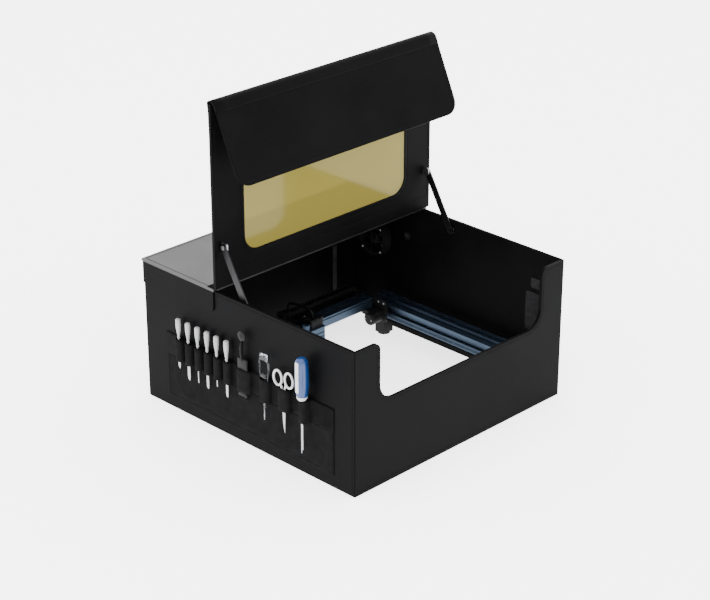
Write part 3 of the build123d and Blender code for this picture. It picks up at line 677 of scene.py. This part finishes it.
def straps_and_pads():
    """Webbing strap sewn on the rear wall and the two thin pads on the right wall."""
    low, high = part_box("wall_strap")
    middle = (low.x + high.x) / 2
    across = [Vector((middle + 0.007 * (1 - 2 * k / 6), high.y - 0.0001, 0)) for k in range(7)]
    lean = [Vector((0, -1, 0))] * 7
    ribbon = cloth_along(across, lean, low.z, high.z, 0.0012, 40)
    strap = add_piece("webbing_strap", "enclosure", "webbing", ribbon)
    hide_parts("wall_strap")
    low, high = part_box("wall_pads")
    tab_z = high.z - 0.026
    pad_z = low.z + 0.1015
    for name, y1, z0, z1 in (("pad_tab", low.y + 0.028, tab_z, high.z), ("pad", high.y, low.z, pad_z)):
        mesh_data = pillow((low.x, low.y, z0), (high.x, y1, z1), high.x - low.x)
        add_piece(name, "enclosure", "webbing", mesh_data)
    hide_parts("wall_pads")


enclosure_trim()
hinge_and_roll()
lid_trim()
flap_trim()
tool_pockets()
straps_and_pads()

# ---------------------------------------------------------------- tools in the pockets

def tool_axis(node):
    """Middle of a tool in X and Y, with its lowest and highest Z."""
    low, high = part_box(node)
    return (low.x + high.x) / 2, (low.y + high.y) / 2, low.z, high.z


def blade_mesh(centre, low_z, high_z, width, thick, tip):
    """Flat blade ground to a slanted tip, with a bevelled cutting edge."""
    x, y = centre
    half = width / 2
    ground = (low_z + tip * 0.4, half * 0.65, thick / 3)
    rows = [(high_z, half, thick / 2), (low_z + tip, half, thick / 2), ground]
    vertices = []
    for z, h, t in rows:
        crown = t * 1.2
        for dx, dy in ((-t, -h), (t, -h), (crown, -h * 0.3), (crown, h * 0.3), (t, h), (-t, h), (-crown, 0)):
            vertices.append(Vector((x + dx, y + dy, z)))
    count = 7
    faces = tube_faces(len(rows), count)
    last = (len(rows) - 1) * count
    point = len(vertices)
    vertices.append(Vector((x, y - half * 0.4, low_z)))
    for k in range(count):
        faces.append((last + k, last + (k + 1) % count, point))
    return vertices, faces


def gravers():
    """Six gravers: pearly teardrop handle, steel ferrule and a ground blade."""
    for number, width in enumerate(BLADE_WIDTHS, start=1):
        node = f"graver_{number}"
        x, y, low, high = tool_axis(node)
        start = high - 0.053
        profile = [(0, 0.0), (0.0001, 0.0026), (0.002, 0.0034), (0.005, 0.0036), (0.006, 0.0030), (0.0075, 0.0033)]
        for k in range(1, 13):
            profile.append((0.0075 + 0.0415 * k / 12, 0.0033 + 0.0033 * sin(pi / 2 * min(1, k / 9)) ** 1.4))
        peak = profile[-1][1]
        for k in range(1, 7):
            turn = pi / 2 * k / 6
            profile.append((0.049 + 0.004 * sin(turn), max(peak * cos(turn), 0.0002)))
        grip = lathe(profile, (x, y, start), Z, 28)
        handle = add_piece(f"{node}_handle", node, "pearl", grip)
        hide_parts(node)
        sleeve = [(0, 0.0017), (0.001, 0.0024), (0.011, 0.0027), (0.012, 0.0020)]
        ferrule = lathe(sleeve, (x, y, start - 0.0115), Z, 20)
        blade = blade_mesh((x, y), low, start - 0.008, width, 0.0019, width * 1.1)
        add_piece(f"{node}_blade", node, "steel", joined([ferrule, blade]), smooth=False)


def cleaning_brush():
    """Black brush: moulded body, bent neck, round knob and a tuft of bristles."""
    node = "cleaning_brush"
    x, y, low, high = tool_axis(node)
    body_low = low + 0.069
    body = soft_box((x - 0.0029, y - 0.0165, body_low), (x + 0.0029, y + 0.0165, body_low + 0.036), 0.0028, 4)
    neck_path = line(
        (x, y + 0.001, body_low + 0.030),
        (x, y + 0.004, body_low + 0.048),
        (x, y + 0.0045, body_low + 0.062),
        (x, y + 0.001, body_low + 0.078),
    )
    neck = sweep_section(neck_path, [(a, b * 1.6) for a, b in ring(0.0028, 12)], up=X)
    disc = [(-0.0029, 0.0), (-0.0028, 0.009), (-0.0018, 0.0122)]
    disc += [(0, 0.0129)] + [(-along, radius) for along, radius in reversed(disc)]
    knob = lathe(disc, (x, y + 0.001, high - 0.013), X, 28)
    stem = soft_box((x - 0.0026, y - 0.0105, low + 0.016), (x + 0.0026, y + 0.0105, body_low + 0.004), 0.002, 3)
    block = soft_box((x - 0.0029, y - 0.0148, low + 0.009), (x + 0.0029, y + 0.0148, low + 0.0175), 0.0012, 2)
    piece = add_piece("brush_body", "brush", "black", joined([body, neck, knob, stem, block]))
    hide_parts(node)
    source = random.Random(7)
    hairs = []
    for row in range(4):
        for column in range(30):
            hair_x = x - 0.0021 + 0.0014 * row
            hair_y = y - 0.0138 + 0.00095 * column
            lean = source.uniform(-0.0009, 0.0009)
            end = Vector((hair_x + lean * 0.4, hair_y + lean, low + source.uniform(0.0002, 0.0016)))
            hairs.append(sweep_section([Vector((hair_x, hair_y, low + 0.011)), end], ring(0.00028, 5), up=X))
    add_piece("brush_bristles", "brush", "rubber", joined(hairs))


def tweezers():
    """Clear plastic tweezers: two sprung arms joined at the top, with a pierced grip and fine tips."""
    node = "tweezers"
    x, y, low, high = tool_axis(node)
    arms = []
    for side in (-1, 1):
        inner = x + side * 0.0013
        path = line(
            (x + side * 0.0012, y + side * 0.0002, low + 0.0002),
            (inner, y + side * 0.003, low + 0.040),
            (inner, y + side * 0.007, low + 0.085),
            (inner, y + side * 0.0145, low + 0.112),
            (inner, y + side * 0.0155, high - 0.022),
            (x + side * 0.0010, y + side * 0.009, high - 0.004),
            (x, y, high - 0.0022),
        )
        arms.append(sweep_section(path, [(a, b * 1.15) for a, b in ring(0.0018, 12)], up=X))
    web = soft_box((x - 0.0010, y - 0.0085, low + 0.098), (x + 0.0010, y + 0.0085, low + 0.116), 0.0008, 2)
    cap = soft_box((x - 0.0022, y - 0.012, high - 0.017), (x + 0.0022, y + 0.012, high - 0.0006), 0.002, 4)
    piece = add_piece("tweezer_arms", "tweezers", "clear", joined(arms + [web, cap]))
    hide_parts(node)
    flat_ring = [(a * 0.5, b) for a, b in ring(0.0019, 10)]
    tip = sweep_section(line((x, y, low + 0.0005), (x, y, low + 0.046)), flat_ring, up=X)
    add_piece("tweezer_tip", "tweezers", "steel", tip)


def scissors():
    """Scissors: two oval finger loops, crossed ground blades and a pivot screw."""
    node = "scissors"
    x, y, low, high = tool_axis(node)
    loops = []
    for side, lift in ((1, 0.0), (-1, 0.004)):
        centre = Vector((x, y + side * 0.018, high - 0.025 + lift))
        turns = [2 * pi * k / 36 for k in range(36)]
        path = [centre + Y * (0.0131 * cos(turn)) + Z * (0.0181 * sin(turn)) for turn in turns]
        loops.append(sweep_section(path, ring(0.0027, 12), closed=True, up=X))
        shank = [centre + Vector((0, -side * 0.010, -0.014)), Vector((x, y + side * 0.0035, high - 0.052))]
        loops.append(sweep_section(shank, ring(0.0026, 12), up=X))
    piece = add_piece("scissor_loops", "scissors", "white", joined(loops))
    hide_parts(node)
    blades = []
    for side in (-1, 1):
        middle = (x + side * 0.0008, y - 0.001 + side * 0.0012)
        blades.append(blade_mesh(middle, low, high - 0.048, 0.0085, 0.0013, 0.055))
    head = [(-0.0018, 0.0022), (-0.0016, 0.0027), (0.0016, 0.0027), (0.0018, 0.0022)]
    screw = lathe(head, (x, y, high - 0.058), X, 18)
    add_piece("scissor_blades", "scissors", "steel", joined(blades + [screw]), smooth=False)


def screwdriver():
    """Fluted blue handle with a white stripe and collar."""
    node = "driver_handle"
    x, y, low, high = tool_axis(node)
    tall = high - low
    count = 60
    profile = [(0, 0.008), (0.006, 0.0115), (0.013, 0.0128), (0.022, 0.0142), (0.035, 0.0155), (0.06, 0.0158)]
    profile += [(0.085, 0.0153), (0.094, 0.0142), (0.099, 0.0118), (tall - 0.0006, 0.0085), (tall, 0.0030)]
    vertices = []
    for along, radius in profile:
        grip = min(1.0, max(0.0, (along - 0.02) / 0.015)) * min(1.0, max(0.0, (tall - 0.008 - along) / 0.01))
        for k in range(count):
            angle = 2 * pi * k / count
            flute = 1 - 0.10 * grip * max(0.0, cos(6 * angle)) ** 2
            reach = radius * flute
            vertices.append(Vector((x + reach * cos(angle), y + reach * sin(angle), low + along)))
    mesh_data = (vertices, closed_tube_faces(len(profile), count))
    piece = add_piece("screwdriver_handle", "screwdriver", "blue", mesh_data)
    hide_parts(node)
    cuff = [(0, 0.0052), (0.0004, 0.0088), (0.006, 0.0121), (0.0095, 0.0127), (0.010, 0.0118)]
    collar = lathe(cuff, (x, y, low - 0.0004), Z, 32)
    stripe = soft_box((x - 0.0163, y - 0.0048, low + 0.022), (x - 0.0135, y + 0.0048, low + 0.096), 0.0012, 3)
    add_piece("screwdriver_trim", "screwdriver", "white", joined([collar, stripe]))


def holder_trim():
    """Stitching of the tool band and panel."""
    band_low_z, band_high_z = (corner.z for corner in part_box("tool_band"))
    panel_low, panel_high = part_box("tool_panel")
    face = left_low.x - 0.0015
    rows = []
    edge = 0.004
    for z in (panel_low.z + edge, panel_high.z - 0.003):
        rows.append(stitches(line((face, panel_low.y + edge, z), (face, panel_high.y - edge, z)), -X))
    for y in (panel_low.y + edge, panel_high.y - edge):
        rows.append(stitches(line((face, y, panel_low.z + edge), (face, y, band_high_z - edge)), -X))
    middles = [tool_axis(f"graver_{number}")[1] for number in range(1, 7)]
    middles += [tool_axis(node)[1] for node in ("cleaning_brush", "tweezers", "scissors", "driver_handle")]
    for a, b in zip(middles, middles[1:]):
        seam = (a + b) / 2
        rows.append(stitches(line((face, seam, band_low_z + 0.003), (face, seam, band_high_z - 0.003)), -X))
    add_piece("holder_stitching", "enclosure", "thread", joined(rows))


gravers()
cleaning_brush()
tweezers()
scissors()
screwdriver()
holder_trim()

# ---------------------------------------------------------------- engraver details

def screw_head(place, axis, radius):
    """Button-head screw with a hexagon socket, its back on a surface."""
    turn = Vector(axis).to_track_quat("Z", "Y").to_matrix()
    head = [(0, radius), (radius * 0.35, radius * 0.96), (radius * 0.6, radius * 0.72), (radius * 0.66, radius * 0.5)]
    vertices, faces = lathe(head, place, axis, 18)
    faces = faces[:-1]
    rim = len(vertices) - 18
    hexagon = len(vertices)
    for depth in (0.66, 0.25):
        for k in range(18):
            angle = 2 * pi * k / 18
            reach = radius * 0.42 / max(cos((angle + pi / 6) % (pi / 3) - pi / 6), 0.8)
            corner = Vector((reach * cos(angle), reach * sin(angle), radius * depth))
            vertices.append(Vector(place) + turn @ corner)
    for k in range(18):
        after = (k + 1) % 18
        faces.append((rim + k, rim + after, hexagon + after, hexagon + k))
        faces.append((hexagon + k, hexagon + after, hexagon + 18 + after, hexagon + 18 + k))
    faces.append(tuple(hexagon + 18 + k for k in range(18)))
    return vertices, faces


def rail_details():
    """Rail end caps and their screws."""
    caps = []
    screws = []
    for node in ("left_rail", "right_rail"):
        low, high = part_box(node)
        inset = 0.0005
        start = (low.x + inset, low.y - 0.003, low.z + inset)
        caps.append(soft_box(start, (high.x - inset, low.y, high.z - inset), 0.0012, 3))
        for z in (low.z + 0.012, high.z - 0.012):
            screws.append(screw_head(((low.x + high.x) / 2, low.y - 0.003, z), -Y, 0.0032))
    add_piece("rail_caps", "enclosure", "black", joined(caps))
    add_piece("rail_screws", "enclosure", "steel", joined(screws), smooth=False)


def gantry_details():
    """Screws of the end plates and motors, and the toothed belt in the beam's slot."""
    plate_low, plate_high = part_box("gantry_plates")
    beam_low, beam_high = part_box("gantry_beam")
    motor_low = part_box("y_motor")[0]
    screws = []
    for side, x in ((-1, beam_low.x - 0.004), (1, beam_high.x + 0.004)):
        for y, z in (
            (plate_high.y - 0.010, plate_high.z - 0.010),
            (plate_high.y - 0.030, plate_high.z - 0.010),
            (plate_high.y - 0.010, plate_high.z - 0.024),
        ):
            screws.append(screw_head((x, y, z), X * side, 0.003))
        inner = x - side * 0.004
        for y, z in ((plate_low.y + 0.010, plate_high.z - 0.008), (plate_low.y + 0.028, plate_high.z - 0.008)):
            screws.append(screw_head((inner, y, z), -X * side, 0.003))
    for dy in (-0.010, 0.010):
        screws.append(screw_head((motor_low.x, motor_low.y + 0.017 + dy, motor_low.z + 0.017), -X, 0.0022))
    add_piece("gantry_screws", "gantry", "steel", joined(screws), smooth=False)
    teeth = []
    count = 240
    for k in range(count):
        x = beam_low.x + 0.006 + (beam_high.x - beam_low.x - 0.012) * k / (count - 1)
        low = (x - 0.0006, beam_low.y + 0.0134, beam_high.z - 0.0034)
        high = (x + 0.0006, beam_low.y + 0.0186, beam_high.z - 0.0026)
        teeth.append(soft_box(low, high, 0.0002, 1))
    strip = soft_box(
        (beam_low.x + 0.003, beam_low.y + 0.013, beam_high.z - 0.0046),
        (beam_high.x - 0.003, beam_low.y + 0.019, beam_high.z - 0.0032), 0.0003, 1,
    )
    add_piece("x_belt", "gantry", "rubber", joined(teeth + [strip]), smooth=False)


def chain_link(centre, along, lift, length, width, height):
    """One drag-chain link: two side plates and two cross bars."""
    parts = []
    for sign in (-1, 1):
        low = (-length / 2, -0.0011, -height / 2)
        high = (length / 2, 0.0011, height / 2)
        vertices, faces = soft_box(low, high, 0.0009, 2)
        shift = Y * (sign * (width / 2 - 0.0013))
        parts.append(([centre + shift + along * v.x + Y * v.y + lift * v.z for v in vertices], faces))
    for sign in (-1, 1):
        low = (-length * 0.22, -width / 2 + 0.0012, height * 0.5 - 0.0019)
        high = (length * 0.22, width / 2 - 0.0012, height * 0.5 - 0.0003)
        vertices, faces = soft_box(low, high, 0.0006, 2)
        parts.append(([centre + along * v.x + Y * v.y + lift * (v.z * sign) for v in vertices], faces))
    return joined(parts)


def drag_chain():
    """Linked cable chain: lower run and bend ride on the gantry, the upper run reaches to the carriage."""
    low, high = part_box("drag_chain")
    width = (high.y - low.y) - 0.0004
    thick = 0.013
    radius = (high.z - low.z) / 2 - thick / 2
    centre = Vector((high.x - radius - thick / 2, (low.y + high.y) / 2, (low.z + high.z) / 2))
    pitch = 0.0125

    def straight_run(z):
        places = [Vector((centre.x - pitch * (k + 0.5), centre.y, z)) for k in range(int((centre.x - low.x) / pitch))]
        return [chain_link(place, X, Z, pitch * 1.12, width, thick * 0.96) for place in places]

    fixed = straight_run(centre.z - radius)
    turns = 6
    for k in range(turns):
        angle = -pi / 2 + pi * (k + 0.5) / turns
        out = Vector((cos(angle), 0, sin(angle)))
        along = Vector((-sin(angle), 0, cos(angle)))
        fixed.append(chain_link(centre + out * radius, along, out, pitch * 0.98, width, thick * 0.96))
    piece = add_piece("chain_bend", "gantry", "black", joined(fixed))
    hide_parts("drag_chain")
    run = add_piece("chain_run", None, "black", joined(straight_run(centre.z + radius)))
    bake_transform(run)


def laser_details():
    """Screws and nozzle ring of the laser head, and its lead to the carriage."""
    low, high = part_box("laser_body")
    cap_low, cap_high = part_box("laser_cap")
    middle = Vector(((low.x + high.x) / 2, 0, 0))
    screws = []
    for dx in (-0.026, 0.026):
        for z in (low.z + 0.022, high.z - 0.007):
            screws.append(screw_head((middle.x + dx, low.y, z), -Y, 0.002))
        place = (middle.x + dx * 0.5 + 0.009, (cap_low.y + cap_high.y) / 2 + 0.012, cap_high.z)
        screws.append(screw_head(place, Z, 0.0016))
    add_piece("laser_screws", "laser", "steel", joined(screws), smooth=False)
    nozzle_y = (low.y + high.y) / 2
    ring_profile = [(0, 0.0118), (0.001, 0.0124), (0.004, 0.0124), (0.005, 0.0118)]
    nozzle_ring = lathe(ring_profile, (middle.x, nozzle_y, low.z + 0.005), Z, 32)
    add_piece("nozzle_ring", "laser", "black_metal", nozzle_ring)
    cable_low, cable_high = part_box("laser_cable")
    x = (cable_low.x + cable_high.x) / 2
    start_y = cable_low.y + 0.0035
    end_y = cable_high.y - 0.0035
    peak = cable_high.z - 0.0045
    path = line((x, start_y, cap_high.z + 0.001), (x, start_y, cap_high.z + 0.003))
    path += arc(Vector((x, start_y + 0.014, peak - 0.014)), 0.014, 180, 95, (Y, Z), 8)
    for k in range(2, 5):
        path.append(Vector((x, start_y + (end_y - start_y) * k / 6, peak + 0.0008 - 0.004 * (k / 6) ** 2)))
    path += arc(Vector((x, end_y - 0.014, peak - 0.018)), 0.014, 85, 0, (Y, Z), 8)
    path.append(Vector((x, end_y, cable_low.z + 0.001)))
    cable = add_piece("laser_lead", None, "black", sweep_section(path, ring(0.0033, 16), up=X))
    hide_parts("laser_cable")
    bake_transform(cable)


def fan_details():
    """Curved fan blades on a domed hub."""
    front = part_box("fan_rotor")[0].x
    axis_y, axis_z = joints["fan_spin"]["pos_m"][1:]
    hub = [(0, 0.002), (0.0004, 0.011), (0.002, 0.0148), (0.004, 0.016), (0.0135, 0.016), (0.0138, 0.0152)]
    parts = [lathe(hub, (front, axis_y, axis_z), X, 36)]
    for turn in range(7):
        rows = []
        for step in range(6):
            radius = 0.0155 + 0.0225 * step / 5
            twist = radians(52 - 5 * step)
            sweep = 2 * pi * turn / 7 + radians(5 * step)
            rows.append([])
            for k in range(5):
                chord = (k / 4 - 0.5) * 0.013
                camber = 0.0016 * (1 - (2 * k / 4 - 1) ** 2)
                dx = chord * cos(twist) + camber * sin(twist)
                da = (chord * sin(twist) - camber * cos(twist)) / radius
                angle = sweep + da
                point = (front + 0.007 + dx, axis_y + radius * cos(angle), axis_z + radius * sin(angle))
                rows[-1].append(Vector(point))
        vertices = []
        for row in rows:
            vertices.extend(row)
        top = len(vertices)
        vertices.extend([v + X * 0.0009 for v in vertices])
        faces = []
        for r in range(5):
            for k in range(4):
                a = r * 5 + k
                faces.append((a, a + 1, a + 6, a + 5))
                faces.append((top + a, top + a + 5, top + a + 6, top + a + 1))
        edge = list(range(5)) + [5 * r + 4 for r in range(1, 6)]
        edge += [25 + k for k in range(3, -1, -1)] + [5 * r for r in range(4, 0, -1)]
        for a, b in zip(edge, edge[1:] + edge[:1]):
            faces.append((a, top + a, top + b, b))
        parts.append((vertices, faces))
    piece = add_piece("fan_blades", "fan_rotor", "black", joined(parts))
    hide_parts("fan_rotor")
    guard_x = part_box("fan_guard")[0].x
    screws = []
    for turn in range(4):
        angle = radians(45 + 90 * turn)
        place = (guard_x, axis_y + 0.044 * cos(angle), axis_z + 0.044 * sin(angle))
        screws.append(screw_head(place, -X, 0.003))
    add_piece("guard_screws", "enclosure", "steel", joined(screws), smooth=False)


rail_details()
gantry_details()
drag_chain()
laser_details()
fan_details()

# ---------------------------------------------------------------- floor, lights and camera

def stage():
    """Plain pale floor and soft overhead light."""
    size = 14.0
    floor = bpy.data.meshes.new("floor")
    corners = [(-size, -size, 0), (size, -size, 0), (size, size, 0), (-size, size, 0)]
    floor.from_pydata(corners, [], [(0, 1, 2, 3)])
    material, _, shader = node_material("pale_floor")
    set_inputs(shader, Base_Color=(0.93, 0.93, 0.93, 1), Roughness=0.9, Specular_IOR_Level=0.0)
    set_inputs(shader, Emission_Color=(1, 1, 1, 1), Emission_Strength=2.5)
    floor.materials.append(material)
    ground = bpy.data.objects.new("floor", floor)
    ground.location.z = -0.0005
    bpy.context.collection.objects.link(ground)
    world = bpy.data.worlds.new("studio")
    world.use_nodes = True
    set_inputs(world.node_tree.nodes["Background"], Color=(1, 1, 1, 1), Strength=3.5)
    bpy.context.scene.world = world

    def soft_light(name, place, aim, power, width):
        data = bpy.data.lights.new(name, "AREA")
        data.energy = power
        data.size = width
        lamp = bpy.data.objects.new(name, data)
        lamp.location = place
        lamp.rotation_euler = (Vector(aim) - Vector(place)).to_track_quat("-Z", "Y").to_euler()
        bpy.context.collection.objects.link(lamp)

    centre = (middle_x, 0, 0.3)
    soft_light("top_light", (middle_x, 0.3, 3.6), centre, 40, 3.0)
    soft_light("left_light", (-3.6, -0.4, 1.6), centre, 22, 2.0)


def camera():
    """Camera at the reference viewing angle: aim point, bearing, height angle and distance."""
    aim = Vector((middle_x + 0.0259, (front_low.y + rear_high.y) / 2 + 0.0229, 0.2353))
    azimuth = radians(-45.16)
    elevation = radians(24.91)
    distance = 4.85
    back = Vector((sin(azimuth) * cos(elevation), -cos(azimuth) * cos(elevation), sin(elevation)))
    data = bpy.data.cameras.new("camera")
    data.lens = 102.8
    data.sensor_width = 36.0
    data.clip_end = 60.0
    eye = bpy.data.objects.new("camera", data)
    eye.location = aim + back * distance
    eye.rotation_euler = (-back).to_track_quat("-Z", "Y").to_euler()
    bpy.context.collection.objects.link(eye)
    bpy.context.scene.camera = eye


stage()
camera()
